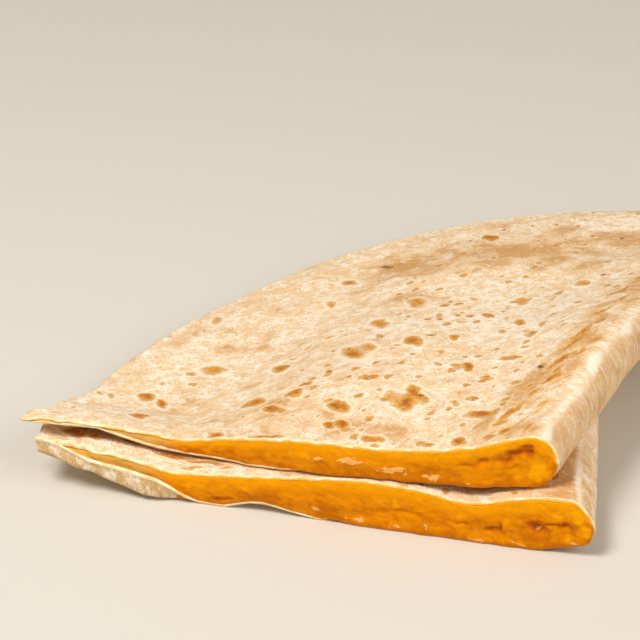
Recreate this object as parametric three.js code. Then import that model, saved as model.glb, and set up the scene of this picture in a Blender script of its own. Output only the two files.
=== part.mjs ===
// A cheese quesadilla cut in two: each half is a folded tortilla sheet with a slab of melted
// cheese inside, and the larger half lies on the smaller one.
// Millimetres, +Z up, origin on the floor under the middle of the stack.

import * as THREE from 'three';

// ---- driving dimensions -------------------------------------------------------------------

const tortillaRadius = 127;        // a 254 mm tortilla, folded into a half-moon and cut across
const sheetThickness = 1.1;        // one layer of tortilla
const pieceGap = 0.3;              // between the cheese and the sheet round it
const stackGap = 0.5;              // between the lower half's top and the upper half's underside
const rimHeight = 2.9;             // two sheets lying on each other at the rim
const floorClearance = 2.2;        // underside of the upper rim where it hangs past the lower half
const hangWidth = 22;              // how far past the lower rim the upper half gets down to that
const cheeseProud = 0.5;           // how far the cheese bulges out of the cut
const stackCentre = [-48.8, 67.4]; // middle of the stack, in the plan coordinates of the corners below
const profileReach = 30;           // how far behind the cut its own height profile still holds
const tipWidth = 6;                // how far behind the cut the tip's extra length is felt

// How thick each half is along its cut, as [distance from the fold, height].
const lowerCutHeights = [
  [0, 14.2], [12, 14.3], [20, 13.4], [30, 12.5], [46, 12.4], [60, 12], [80, 9.7], [94, 8],
  [107, 5.9], [118, 4.4], [137, 3.8],
];
const upperCutHeights = [
  [0, 13.2], [8, 13.2], [16, 11.4], [26, 9.2], [38, 8], [58, 8.4], [75, 7.2], [86, 4.8],
  [97, 3.8], [127, 3.2],
];

// The lower half's tip bends up off the floor, as [distance from the fold, height].
const lowerTipLift = [[0, 0], [98, 0], [107, 1.9], [117, 4.7], [126, 7], [137, 10]];
const tipLiftReach = 42;           // how far from the cut the lifted tip reaches

// The lower half's front edge arches off the floor, as [distance from the fold, height].
const lowerArch = [[66, 0], [72, 0.9], [79, 2.2], [84, 1.3], [88, 0]];
const archReach = 14;              // how far from the cut the arch reaches

// The lower half's fold curves up off the floor at its foot.
const foldFoot = { height: 3.3, width: 17 };

// The lower half's underside is a little wavy. It touches the floor with a flat middle and with
// four points round it, as [station below, section].
const floorWave = { height: 0.3, width: 18 };
const floorFlat = { along: 46.5, back: 44.5, radius: 8 };
const floorPoints = [[5, 0], [12, 4], [6, 11], [14, 10]];

// Near its tip the upper half stands clear of the lower one, as [distance from the fold, gap].
const upperTipGap = [[0, 0], [72, 0], [88, 0.9], [100, 2], [110, 2.8], [118, 2], [127, 0.6]];
const tipGapReach = 30;

// The upper half's cut wanders to and fro, as [distance from the fold, shift away from the cut].
const upperCutWander = [[0, 0], [25, -1], [50, -1.8], [70, 1], [88, 4.9], [105, 3.6], [127, 0]];
const wanderReach = 22;

const lowerHalf = {
  corner: [12.6, -11],             // where the cut meets the fold, in plan
  cutHeading: 179.4,               // degrees from +X, from the corner to the tip
  foldHeading: 99,                 // degrees from +X, from the corner along the fold
  rimCentre: [1.3, -28.9],
  rimBumps: [],
  foldDepth: 4,                    // how far the rounded fold reaches in
  foldLean: 3,                     // how much further in the fold's top edge starts than its foot
  tipLength: -3,                   // how far the tip sticks out past the rim
  endWidth: 14,                    // how wide the fold's far end is
  foldHeightAtRim: 3,              // extra height of the rim where it meets the fold
  foldHeightWidth: 18,             // how far from the fold that is felt
  slopeWidth: 60,                  // how far inside the rim the full height is reached
};

const upperHalf = {
  corner: [2.5, -7],
  cutHeading: 180.9,
  foldHeading: 80.5,
  rimCentre: [5.5, 17],
  // the rim is not quite round, as { heading from the centre, width in degrees, height }
  rimBumps: [{ heading: 152, width: 24, height: -5.3 }, { heading: 97, width: 20, height: 5 }],
  foldDepth: 6,
  foldLean: 0.8,
  tipLength: 6,
  endWidth: 14,
  foldHeightAtRim: 6,
  foldHeightWidth: 45,
  slopeWidth: 35,
};

// The lower half's top sinks just behind the cut, so that a slot shows between the halves.
const topDent = { along: 30.5, width: 9.5, depth: 2.1, reach: 25 };

// The lower half's bottom sheet curls up in front of the cheese near the tip.
const frontCurl = { start: 90, width: 18, out: 3, rise: 0.85, reach: 6 };

// Hollows in the cut face of the cheese: distance from the fold, height share, sizes and depth.
const upperHollows = [
  { along: 8, level: 0.68, halfLength: 5, halfShare: 0.16, depth: 2.4 },
  { along: 18, level: 0.55, halfLength: 3, halfShare: 0.14, depth: 1.4 },
];
const lowerHollows = [
  { along: 12, level: 0.45, halfLength: 4, halfShare: 0.2, depth: 2.2 },
  { along: 24, level: 0.4, halfLength: 2.5, halfShare: 0.25, depth: 1.4 },
  { along: 33, level: 0.5, halfLength: 5, halfShare: 0.14, depth: 1 },
];

// How finely the surfaces are divided.
const flatStations = 17;           // from the fold to the rim, over the top and again below
const stationSpread = 1.4;         // above 1 the stations stand closer near the fold
const foldStations = 4;            // a quarter of the way round the fold
const sections = 17;               // from the cut to the fold's far end
const cheeseShortSections = 3;     // the cheese ends this many sections before the fold does
const cutFaceRows = 4;             // rows of faces on the cut cheese
const rimSteps = 12;               // steps taken to find the rim

// ---- small helpers ------------------------------------------------------------------------

const degrees = (angle) => THREE.MathUtils.degToRad(angle);
const mix = (a, b, share) => a + (b - a) * share;

function ease(value) {
  const share = THREE.MathUtils.clamp(value, 0, 1);
  return share * share * (3 - 2 * share);
}

function bell(distance) {
  return Math.exp(-distance * distance);
}

// A smooth curve through [position, value] pairs.
function smoothCurve(pairs) {
  const slope = (i) => {
    const before = pairs[Math.max(i - 1, 0)];
    const after = pairs[Math.min(i + 1, pairs.length - 1)];
    return (after[1] - before[1]) / (after[0] - before[0]);
  };
  return (position) => {
    const last = pairs.length - 1;
    if (position <= pairs[0][0]) return pairs[0][1];
    if (position >= pairs[last][0]) return pairs[last][1];
    let i = 0;
    while (position > pairs[i + 1][0]) i += 1;
    const span = pairs[i + 1][0] - pairs[i][0];
    const t = (position - pairs[i][0]) / span;
    const startPull = slope(i) * span * t * (1 - t) * (1 - t);
    const endPull = slope(i + 1) * span * t * t * (1 - t);
    return mix(pairs[i][1], pairs[i + 1][1], t * t * (3 - 2 * t)) + startPull - endPull;
  };
}

const lowerHeightAt = smoothCurve(lowerCutHeights);
const upperHeightAt = smoothCurve(upperCutHeights);
const tipLiftAt = smoothCurve(lowerTipLift);
const archAt = smoothCurve(lowerArch);
const tipGapAt = smoothCurve(upperTipGap);
const cutWanderAt = smoothCurve(upperCutWander);

// ---- the plan of a half: "along" runs from the fold to the tip, "back" away from the cut ---

for (const half of [lowerHalf, upperHalf]) {
  half.alongAxis = [Math.cos(degrees(half.cutHeading)), Math.sin(degrees(half.cutHeading))];
  half.backAxis = [Math.cos(degrees(half.foldHeading)), Math.sin(degrees(half.foldHeading))];
}

function planPoint(half, along, back) {
  return [
    half.corner[0] + along * half.alongAxis[0] + back * half.backAxis[0],
    half.corner[1] + along * half.alongAxis[1] + back * half.backAxis[1],
  ];
}

function alongAndBack(half, x, y) {
  const [ax, ay] = half.alongAxis;
  const [bx, by] = half.backAxis;
  const dx = x - half.corner[0];
  const dy = y - half.corner[1];
  const area = ax * by - ay * bx;
  return [(dx * by - dy * bx) / area, (ax * dy - ay * dx) / area];
}

// The rim's distance from its centre towards a point.
function rimRadius(half, x, y) {
  const heading = THREE.MathUtils.radToDeg(Math.atan2(y - half.rimCentre[1], x - half.rimCentre[0]));
  let radius = tortillaRadius;
  for (const bump of half.rimBumps) {
    radius += bump.height * bell((heading - bump.heading) / bump.width);
  }
  return radius;
}

// Distance inside the rim, negative outside it.
function insideRim(half, x, y) {
  return rimRadius(half, x, y) - Math.hypot(x - half.rimCentre[0], y - half.rimCentre[1]);
}

// Distance from a start point to the rim along a direction, found in a few steps.
function reachOfRim(half, start, direction) {
  const dx = start[0] - half.rimCentre[0];
  const dy = start[1] - half.rimCentre[1];
  const middle = dx * direction[0] + dy * direction[1];
  let radius = tortillaRadius;
  let reach = 0;
  for (let step = 0; step < rimSteps; step += 1) {
    const halfChord = Math.sqrt(Math.max(middle * middle - dx * dx - dy * dy + radius * radius, 0));
    reach = halfChord - middle;
    radius = rimRadius(half, start[0] + reach * direction[0], start[1] + reach * direction[1]);
  }
  return reach;
}

function rimAlong(half, back) {
  const tip = half.tipLength * bell(back / tipWidth);
  return reachOfRim(half, planPoint(half, 0, back), half.alongAxis) + tip;
}

// ---- stations and sections ----------------------------------------------------------------

// The last section is where the half is still endWidth wide.
function lastBack(half) {
  return reachOfRim(half, planPoint(half, half.endWidth, 0), half.backAxis);
}

// Sections stand closer together at both ends.
function sectionBacks(half) {
  const last = lastBack(half);
  const backs = [];
  for (let j = 0; j <= sections; j += 1) {
    backs.push((last * (1 - Math.cos((Math.PI * j) / sections))) / 2);
  }
  return backs;
}

// How far past the fold's round part a station is, below (side -1) or above (side 1).
function beyondFold(half, back, side, station) {
  const lean = side > 0 ? half.foldLean : 0;
  const flat = rimAlong(half, back) - half.foldDepth - lean;
  return flat * (station / flatStations) ** stationSpread;
}

// Stations round a half's section, from the rim below, round the fold, to the rim above.
function sectionStations(half, back) {
  const stations = [];
  for (let i = flatStations; i > 0; i -= 1) {
    stations.push({ turn: -Math.PI / 2, beyond: beyondFold(half, back, -1, i) });
  }
  for (let i = -foldStations; i <= foldStations; i += 1) {
    stations.push({ turn: (Math.PI / 2) * (i / foldStations), beyond: 0 });
  }
  for (let i = 1; i <= flatStations; i += 1) {
    stations.push({ turn: Math.PI / 2, beyond: beyondFold(half, back, 1, i) });
  }
  return stations;
}

// ---- heights ------------------------------------------------------------------------------

function halfHeight(half, heightAt, along, back) {
  const [x, y] = planPoint(half, along, back);
  const rim = rimHeight + half.foldHeightAtRim * Math.exp(-Math.max(along, 0) / half.foldHeightWidth);
  const slope = ease(insideRim(half, x, y) / half.slopeWidth);
  const share = mix(1, slope, ease(back / profileReach));
  return rim + (heightAt(along) - rim) * share;
}

function lowerTipLiftAt(along, back) {
  return Math.max(tipLiftAt(along), 0) * (1 - ease(back / tipLiftReach));
}

function lowerArchAt(along, back) {
  return Math.max(archAt(along), 0) * (1 - ease(back / archReach));
}

function foldFootAt(along, back) {
  const share = 1 - ease(back / lastBack(lowerHalf));
  return foldFoot.height * ease(1 - along / foldFoot.width) * share;
}

function floorWaveAt(along, back) {
  const fromFlat = Math.hypot(along - floorFlat.along, back - floorFlat.back) - floorFlat.radius;
  let share = ease(fromFlat / floorWave.width);
  for (const [station, section] of floorPoints) {
    const pointBack = sectionBacks(lowerHalf)[section];
    const pointAlong = lowerHalf.foldDepth + beyondFold(lowerHalf, pointBack, -1, station);
    share = Math.min(share, ease(Math.hypot(along - pointAlong, back - pointBack) / floorWave.width));
  }
  return floorWave.height * share;
}

function lowerUnderside(along, back) {
  const curves = lowerTipLiftAt(along, back) + lowerArchAt(along, back) + foldFootAt(along, back);
  return curves + floorWaveAt(along, back);
}

function lowerHeight(along, back) {
  const dent = topDent.depth * bell((along - topDent.along) / topDent.width) * bell(back / topDent.reach);
  const top = lowerTipLiftAt(along, back) + halfHeight(lowerHalf, lowerHeightAt, along, back) - dent;
  return top - lowerUnderside(along, back);
}

// The upper half rests on the lower half's top, bridges its dent and sinks past its rim.
function upperUnderside(along, back) {
  const [x, y] = planPoint(upperHalf, along, back);
  const [lowerAlong, lowerBack] = alongAndBack(lowerHalf, x, y);
  const alongInside = Math.max(lowerAlong, 0);
  const backInside = Math.max(lowerBack, 0);
  const thickness = halfHeight(lowerHalf, lowerHeightAt, alongInside, backInside);
  const tipGap = Math.max(tipGapAt(along), 0) * (1 - ease(back / tipGapReach));
  const support = lowerTipLiftAt(alongInside, backInside) + thickness + stackGap + tipGap;
  const [insideX, insideY] = planPoint(lowerHalf, alongInside, backInside);
  const past = -insideRim(lowerHalf, insideX, insideY) / hangWidth;
  return mix(support, floorClearance, ease(past));
}

function upperHeight(along, back) {
  return halfHeight(upperHalf, upperHeightAt, along, back);
}

const lowerShape = {
  half: lowerHalf,
  underside: lowerUnderside,
  height: lowerHeight,
  shift: () => 0,
  curl: (along, back) => {
    const nearTip = ease((along - frontCurl.start) / frontCurl.width);
    const nearCut = Math.max(0, 1 - Math.max(back, 0) / frontCurl.reach);
    const room = lowerHeight(along, Math.max(back, 0)) - rimHeight - 2 * pieceGap;
    return {
      back: -frontCurl.out * nearTip * nearCut,
      rise: frontCurl.rise * Math.max(room, 0) * nearTip * nearCut * nearCut,
    };
  },
};

const upperShape = {
  half: upperHalf,
  underside: upperUnderside,
  height: upperHeight,
  shift: (along, back) => cutWanderAt(along) * Math.max(0, 1 - Math.max(back, 0) / wanderReach),
  curl: () => ({ back: 0, rise: 0 }),
};

// ---- one cross-section point ---------------------------------------------------------------

// inset is the depth below the half's outer skin, turn runs from -90 degrees at the underside
// over 0 at the fold to 90 at the top, and beyond is the distance past the fold's round part.
function skinPoint(shape, inset, turn, beyond, back) {
  const lean = (shape.half.foldLean * (1 + Math.sin(turn))) / 2;
  const round = inset + (shape.half.foldDepth - inset) * (1 - Math.cos(turn));
  const along = lean + (beyond > 0 ? shape.half.foldDepth + beyond : round);
  const low = shape.underside(along, back);
  const height = shape.height(along, back);
  const middle = low + height / 2;
  const side = beyond > 0 ? Math.sign(turn) : Math.sin(turn);
  const curl = shape.curl(along, back);
  const curlShare = side < 0 ? -side : 0;
  const z = middle + (height / 2 - inset) * side + curl.rise * curlShare;
  const moved = back + shape.shift(along, back) + curl.back * curlShare;
  const [x, y] = planPoint(shape.half, along, moved);
  return [x - stackCentre[0], y - stackCentre[1], z];
}

// ---- meshes --------------------------------------------------------------------------------

class FaceList {
  constructor() {
    this.points = [];
    this.faces = [];
  }

  addRow(points) {
    const first = this.points.length / 3;
    for (const point of points) this.points.push(...point);
    return points.map((_, i) => first + i);
  }

  quad(a, b, c, d) {
    this.faces.push(a, b, c, a, c, d);
  }

  // Faces between rows of points, each row as long as the others.
  grid(rows) {
    for (let j = 0; j + 1 < rows.length; j += 1) {
      for (let i = 0; i + 1 < rows[j].length; i += 1) {
        this.quad(rows[j][i], rows[j][i + 1], rows[j + 1][i + 1], rows[j + 1][i]);
      }
    }
  }

  geometry() {
    const geometry = new THREE.BufferGeometry();
    geometry.setAttribute('position', new THREE.Float32BufferAttribute(this.points, 3));
    geometry.setIndex(this.faces);
    geometry.computeVertexNormals();
    return geometry;
  }
}

// A tortilla sheet folded round the filling, as thick as it is everywhere.
function foldedSheet(shape) {
  const list = new FaceList();
  const outer = [];
  const inner = [];
  for (const back of sectionBacks(shape.half)) {
    const stations = sectionStations(shape.half, back);
    const skin = (inset) => stations.map((at) => skinPoint(shape, inset, at.turn, at.beyond, back));
    outer.push(list.addRow(skin(0)));
    inner.push(list.addRow(skin(sheetThickness)));
  }
  const last = outer.length - 1;
  const column = (rows, i) => rows.map((row) => row.at(i));
  list.grid(outer.toReversed());
  list.grid(inner);
  list.grid([outer[0], inner[0]]);
  list.grid([inner[last], outer[last]]);
  list.grid([column(inner, 0), column(outer, 0)]);
  list.grid([column(outer, -1), column(inner, -1)]);
  return list.geometry();
}

// How far a point of the cut face lies back from the cut.
function cutFaceDepth(hollows, along, level) {
  let depth = -cheeseProud * Math.sin(Math.PI * level);
  for (const hollow of hollows) {
    const across = (along - hollow.along) / hollow.halfLength;
    depth += hollow.depth * bell(across) * bell((level - hollow.level) / hollow.halfShare);
  }
  return depth;
}

// Closes one end of the cheese with a grid between each point below and its partner above.
function closeEnd(list, shape, ring, depthAt) {
  const middle = (ring.length - 1) / 2;
  const last = ring.length - 1;
  const rows = [ring.slice(1, middle + 1)];
  for (let row = 1; row < cutFaceRows; row += 1) {
    const level = row / cutFaceRows;
    const points = [];
    for (let i = 1; i < middle; i += 1) {
      const low = new THREE.Vector3().fromArray(list.points, ring[i] * 3);
      const high = new THREE.Vector3().fromArray(list.points, ring[last - i] * 3);
      const point = low.lerp(high, level);
      const [along] = alongAndBack(shape.half, point.x + stackCentre[0], point.y + stackCentre[1]);
      const depth = depthAt(along, level);
      point.x += depth * shape.half.backAxis[0];
      point.y += depth * shape.half.backAxis[1];
      points.push(point.toArray());
    }
    rows.push([...list.addRow(points), ring[middle]]);
  }
  rows.push(ring.slice(middle, last).reverse());
  const faces = [];
  for (let row = 0; row < cutFaceRows; row += 1) {
    const [low, high] = [rows[row], rows[row + 1]];
    faces.push([ring[0], low[0], high[0]]);
    for (let i = 0; i + 2 < low.length; i += 1) {
      faces.push([low[i], low[i + 1], high[i + 1]], [low[i], high[i + 1], high[i]]);
    }
    faces.push([low.at(-2), low.at(-1), high.at(-2)]);
  }
  faces.push([ring[0], rows[cutFaceRows][0], ring[last]]);
  return faces;
}

// The cheese fills the folded sheet, one station short of the rim all round.
function cheeseSlab(shape, hollows) {
  const list = new FaceList();
  const inset = sheetThickness + pieceGap;
  const backs = sectionBacks(shape.half).slice(0, -cheeseShortSections);
  const rings = backs.map((back) => {
    const stations = sectionStations(shape.half, back).slice(1, -1);
    return list.addRow(stations.map((at) => skinPoint(shape, inset, at.turn, at.beyond, back)));
  });
  for (let j = 0; j + 1 < rings.length; j += 1) {
    for (let i = 0; i < rings[j].length; i += 1) {
      const beside = (i + 1) % rings[j].length;
      list.quad(rings[j][i], rings[j + 1][i], rings[j + 1][beside], rings[j][beside]);
    }
  }
  const cutFace = closeEnd(list, shape, rings[0], (along, level) => cutFaceDepth(hollows, along, level));
  const farFace = closeEnd(list, shape, rings.at(-1), () => 0);
  for (const face of cutFace) list.faces.push(...face);
  for (const face of farFace) list.faces.push(...face.reverse());
  return list.geometry();
}

// ---- the four pieces -----------------------------------------------------------------------

const quesadilla = new THREE.Group();

function addPiece(name, geometry, colour, roughness) {
  const material = new THREE.MeshStandardMaterial({ color: colour, roughness, metalness: 0 });
  const mesh = new THREE.Mesh(geometry, material);
  mesh.name = name;
  quesadilla.add(mesh);
}

const tortillaColour = 0xe9dbc3;
const cheeseColour = 0xf0a21a;

addPiece('tortilla_lower', foldedSheet(lowerShape), tortillaColour, 0.8);
addPiece('cheese_lower', cheeseSlab(lowerShape, lowerHollows), cheeseColour, 0.35);
addPiece('tortilla_upper', foldedSheet(upperShape), tortillaColour, 0.8);
addPiece('cheese_upper', cheeseSlab(upperShape, upperHollows), cheeseColour, 0.35);

export default quesadilla;
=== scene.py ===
import math
import bmesh
import bpy
import numpy as np
from mathutils import Matrix, Vector


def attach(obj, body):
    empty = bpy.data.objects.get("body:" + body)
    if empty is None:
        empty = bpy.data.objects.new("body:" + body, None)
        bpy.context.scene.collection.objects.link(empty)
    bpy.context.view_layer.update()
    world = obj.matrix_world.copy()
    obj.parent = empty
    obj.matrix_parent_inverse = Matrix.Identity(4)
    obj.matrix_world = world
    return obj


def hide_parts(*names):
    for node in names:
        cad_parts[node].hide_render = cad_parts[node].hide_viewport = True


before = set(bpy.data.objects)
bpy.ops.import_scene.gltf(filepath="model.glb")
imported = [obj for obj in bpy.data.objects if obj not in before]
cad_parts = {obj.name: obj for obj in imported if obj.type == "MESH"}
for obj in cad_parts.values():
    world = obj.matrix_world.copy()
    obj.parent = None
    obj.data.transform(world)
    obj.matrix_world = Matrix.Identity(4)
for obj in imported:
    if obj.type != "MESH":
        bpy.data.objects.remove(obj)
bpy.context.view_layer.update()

mm = 0.001  # sizes below are in millimetres, the meshes are made in metres

# the same quesadilla as the solids: two folded halves, the larger one lying on the smaller
stack = {
    "tortillaRadius": 127,
    "sheetThickness": 1.1,
    "stackGap": 0.5,             # between the halves
    "rimHeight": 2.9,            # both sheets together at the rim
    "rimThinning": 0.25, "rimThinWidth": 8,    # how much thinner each sheet gets at the rim
    "cutThinning": 0.35, "cutThinReach": 1.2,  # share of the thickness squeezed away by the knife
    "rimPinch": 0.8,             # how much closer the two sheets lie at the rim, away from the fold
    "rimPinchWidth": 7, "rimPinchStart": 20, "rimPinchFade": 30,
    "tipPinch": 1.9, "tipPinchWidth": 14, "tipPinchReach": 20,  # and at the cut end of the tip
    "tipRaise": 1.2,             # how far the sheet below comes up to meet the other there
    "leastReach": 0.02,          # half the gap inside where the sheets are pressed together
    "edgeRecess": 2.6,           # how far the lower sheet's edge hides under the lip of cheese
    "edgeReach": 5, "edgeLump": 3.5, "tipRagWidth": 10,  # of the ragged cut edge
    "floorClearance": 2.2,       # under the upper rim where it hangs past the lower half
    "hangWidth": 22,             # over which it sinks to that
    "centre": (-48.8, 67.4),     # middle of the stack, in the plan coordinates of the corners below
    "profileReach": 30,          # how far behind the cut its own height profile still holds
    "tipWidth": 6,
    "tipLiftReach": 42,          # how far behind the cut the lower tip is bent up
    "puffAlong": 115, "puffWidth": 16, "puffHeight": 1.9, "puffReach": 25,  # raises the top near that tip
    "archReach": 14,
    "foldFootHeight": 3.3, "foldFootWidth": 17,  # of the room under the lower fold
    "tipGapReach": 30,           # of the gap between the halves at the tips
    "wanderReach": 22,           # how far behind the cut the upper half follows its wandering
    "dentAlong": 30.5, "dentWidth": 9.5, "dentDepth": 2.1, "dentReach": 25,  # in the lower top
}

# near the tip the lower half's bottom sheet sticks out in front of the cheese and turns up over it
frontWrap = {
    "start": 93, "width": 12, "closing": 121, "closingWidth": 8, "reach": 6,
    "out": 4.2, "backIn": 0.5,   # how far it stands out, and the share that its edge comes back
    "droop": 1.1, "droopShare": 0.6,
    "rise": 1.9, "peakAlong": 108, "peakWidth": 10, "peakRise": 2.7, "turnUp": 0.35, "clearance": 0.1,
    "wavy": 0.13, "waveLength": 6, "seed": 77,
}

# slow waves of the tops; three values are height, size along and size away from the cut
waves = {
    "long": (0.65, 24, 24), "short": (0.35, 10, 10), "rimFade": 15, "cutFade": 12,
    "crestBack": 13, "crestAlong": 40, "crestWidth": 7, "crestFade": 8,  # those on the crest of the fold
}

lowerHalf = {
    "corner": (12.6, -11), "cutHeading": 179.4, "foldHeading": 99,  # where cut and fold meet, and degrees
    "rimCentre": (1.3, -28.9), "rimBumps": [],
    "foldDepth": 4, "foldLean": 3,  # of the round fold, and how much further in its top begins
    "tipLength": -3,             # how far the tip reaches past the round rim
    "endWidth": 14,              # the far end is where the rim comes this near to the fold
    "foldHeightAtRim": 3, "foldHeightWidth": 18, "slopeWidth": 60,
    "swell": 0.2, "crestWave": 0.35,
    "seed": 11,                  # most random patterns of this half are worked out from it
    "ragged": 0.15, "tipRagged": 0.3, "crumpleStart": 112, "pinchStart": 112,
    "markLean": 0.13, "streakLean": -0.2,  # how far they lean along for each step back
    # sideShare 0: the lower fold's side keeps the paler colours of the top, as painted light
    "creaseStrength": 0.35, "creaseEnd": 12, "creaseSpread": 3, "sideShare": 0, "crestFlourAndHighlight": 0.8,
    "filmStart": 97, "filmRecess": 0.1, "lipEnd": 66, "lipFade": 9,  # along the cut face of the cheese
    "sheetSteps": (40, 12, 150), "sections": 130,  # steps below, to the middle of the fold, and above
}

upperHalf = {
    "corner": (2.5, -7), "cutHeading": 180.9, "foldHeading": 80.5,
    "rimCentre": (5.5, 17), "rimBumps": [(152, 24, -5.3), (97, 20, 5)],  # heading, width in degrees, height
    "foldDepth": 6, "foldLean": 0.8, "tipLength": 6, "endWidth": 14,
    "foldHeightAtRim": 6, "foldHeightWidth": 45, "slopeWidth": 35,
    "swell": 0.55, "crestWave": 0.8, "seed": 41,
    "ragged": 0.25, "tipRagged": 0.6, "crumpleStart": 114, "pinchStart": 98,
    "markLean": 0.45, "streakLean": -0.45,
    "creaseStrength": 1, "creaseEnd": 14, "creaseSpread": 7, "sideShare": 1, "crestFlourAndHighlight": 1,
    "filmStart": 86, "filmRecess": 0.4, "lipEnd": 64, "lipFade": 12,
    "sheetSteps": (36, 14, 180), "sections": 170,
}


def ease(value):
    share = np.clip(value, 0, 1)
    return share * share * (3 - 2 * share)


def bell(distance):
    return np.exp(-np.square(distance))


def mix(low, high, share):
    return low + (high - low) * share


def smoothCurve(pairs):  # a smooth curve through (position, value) pairs
    positions = np.array([pair[0] for pair in pairs], float)
    values = np.array([pair[1] for pair in pairs], float)
    before = np.maximum(np.arange(len(pairs)) - 1, 0)
    after = np.minimum(np.arange(len(pairs)) + 1, len(pairs) - 1)
    slopes = (values[after] - values[before]) / (positions[after] - positions[before])

    def curve(position):
        position = np.clip(position, positions[0], positions[-1])
        i = np.clip(np.searchsorted(positions, position) - 1, 0, len(pairs) - 2)
        span = positions[i + 1] - positions[i]
        t = (position - positions[i]) / span
        pull = slopes[i] * span * t * (1 - t) ** 2 - slopes[i + 1] * span * t * t * (1 - t)
        return mix(values[i], values[i + 1], t * t * (3 - 2 * t)) + pull

    return curve


def lumps(x, y, seed):  # smooth random relief from -1 to 1, about one lump to each unit
    size = 97  # it repeats after this many units
    table = np.random.default_rng(seed).uniform(-1, 1, (size, size))
    column, row = np.floor(x).astype(int), np.floor(y).astype(int)
    acrossShare, upShare = ease(x - column), ease(y - row)

    def at(right, up):
        return table[(row + up) % size, (column + right) % size]

    low = mix(at(0, 0), at(1, 0), acrossShare)
    high = mix(at(0, 1), at(1, 1), acrossShare)
    return mix(low, high, upShare)


def roughLumps(x, y, seed, layers=3):  # lumps with finer lumps on them
    total = 0
    for layer in range(layers):
        turned = 0.8 * x - 0.6 * y, 0.6 * x + 0.8 * y  # so that the layers don't line up
        x, y = turned if layer % 2 else (x, y)
        total = total + lumps(x * 2 ** layer, y * 2 ** layer, seed + layer) / 2 ** layer
    return total


def scaled(kind, sizes, x, y, seed):  # lumps of one kind, with their height and their sizes in x and y
    height, sizeX, sizeY = sizes
    return height * kind(x / sizeX, y / sizeY, seed)


# in the plan of a half, along runs from the fold to the tip and back runs away from the cut

def heading(degrees):
    return np.array([math.cos(math.radians(degrees)), math.sin(math.radians(degrees))])


for half in (lowerHalf, upperHalf):
    half["alongAxis"] = heading(half["cutHeading"])
    half["backAxis"] = heading(half["foldHeading"])


def planPoint(half, along, back):
    x = half["corner"][0] + along * half["alongAxis"][0] + back * half["backAxis"][0]
    y = half["corner"][1] + along * half["alongAxis"][1] + back * half["backAxis"][1]
    return x, y


def alongAndBack(half, x, y):  # the other way round
    ax, ay = half["alongAxis"]
    bx, by = half["backAxis"]
    dx, dy = x - half["corner"][0], y - half["corner"][1]
    area = ax * by - ay * bx
    return (dx * by - dy * bx) / area, (ax * dy - ay * dx) / area


def rimRadius(half, x, y):  # in the direction of a place
    dx, dy = x - half["rimCentre"][0], y - half["rimCentre"][1]
    direction = np.degrees(np.arctan2(dy, dx))
    radius = stack["tortillaRadius"] + 0.0 * direction
    for bumpHeading, width, height in half["rimBumps"]:
        radius = radius + height * bell((direction - bumpHeading) / width)
    return radius


def insideRim(half, x, y):  # negative outside
    return rimRadius(half, x, y) - np.hypot(x - half["rimCentre"][0], y - half["rimCentre"][1])


def reachOfRim(half, startX, startY, direction):  # distance to the rim, found in steps as it has bumps
    dx, dy = startX - half["rimCentre"][0], startY - half["rimCentre"][1]
    middle = dx * direction[0] + dy * direction[1]
    radius = stack["tortillaRadius"]
    for step in range(12):  # the reach has settled by then
        reach = np.sqrt(np.maximum(middle ** 2 - dx ** 2 - dy ** 2 + radius ** 2, 0)) - middle
        radius = rimRadius(half, startX + reach * direction[0], startY + reach * direction[1])
    return reach


def rimAlong(half, back):  # distance from the fold to the rim
    reach = reachOfRim(half, *planPoint(half, 0, back), half["alongAxis"])
    return reach + half["tipLength"] * bell(back / stack["tipWidth"])


for half in (lowerHalf, upperHalf):
    half["lastBack"] = float(reachOfRim(half, *planPoint(half, half["endWidth"], 0), half["backAxis"]))


# along each cut, as (distance from the fold, value)
lowerHeightAt = smoothCurve([
    (0, 14.2), (12, 14.3), (20, 13.4), (30, 12.5), (46, 12.4), (60, 12), (80, 9.7), (94, 8), (107, 5.9),
    (118, 4.4), (137, 3.8)])
upperHeightAt = smoothCurve([
    (0, 13.2), (8, 13.2), (16, 11.4), (26, 9.2), (38, 8), (58, 8.4), (75, 7.2), (86, 4.8), (97, 3.8),
    (127, 3.2)])
tipLiftAt = smoothCurve([(0, 0), (98, 0), (107, 1.9), (117, 4.7), (126, 7), (137, 10)])
archAt = smoothCurve([(66, 0), (72, 0.9), (79, 2.2), (84, 1.3), (88, 0)])
tipGapAt = smoothCurve([(0, 0), (72, 0), (88, 0.9), (100, 2), (110, 2.8), (118, 2), (127, 0.6)])
cutWanderAt = smoothCurve([(0, 0), (25, -1), (50, -1.8), (70, 1), (88, 4.9), (105, 3.6), (127, 0)])


def halfHeight(half, heightAt, along, back):  # of sheets and cheese, before dents and arches
    x, y = planPoint(half, along, back)
    atFold = np.exp(-np.maximum(along, 0) / half["foldHeightWidth"])
    rim = stack["rimHeight"] + half["foldHeightAtRim"] * atFold
    slope = ease(insideRim(half, x, y) / half["slopeWidth"])
    return rim + (heightAt(along) - rim) * mix(1, slope, ease(back / stack["profileReach"]))


def tipLift(along, back):  # the tip of the lower half is bent up
    return np.maximum(tipLiftAt(along), 0) * (1 - ease(back / stack["tipLiftReach"]))


def foldFoot(along, back):  # the lower half stands off the floor at its fold
    share = 1 - ease(back / lowerHalf["lastBack"])
    return stack["foldFootHeight"] * ease(1 - along / stack["foldFootWidth"]) * share


def topDent(along, back):  # a dent in the top of the lower half
    across = bell((along - stack["dentAlong"]) / stack["dentWidth"])
    return stack["dentDepth"] * across * bell(back / stack["dentReach"])


def frontArch(along, back):  # a low arch under the cut of the lower half
    return np.maximum(archAt(along), 0) * (1 - ease(back / stack["archReach"]))


def lowerUnderside(along, back):
    return tipLift(along, back) + frontArch(along, back) + foldFoot(along, back)


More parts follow.
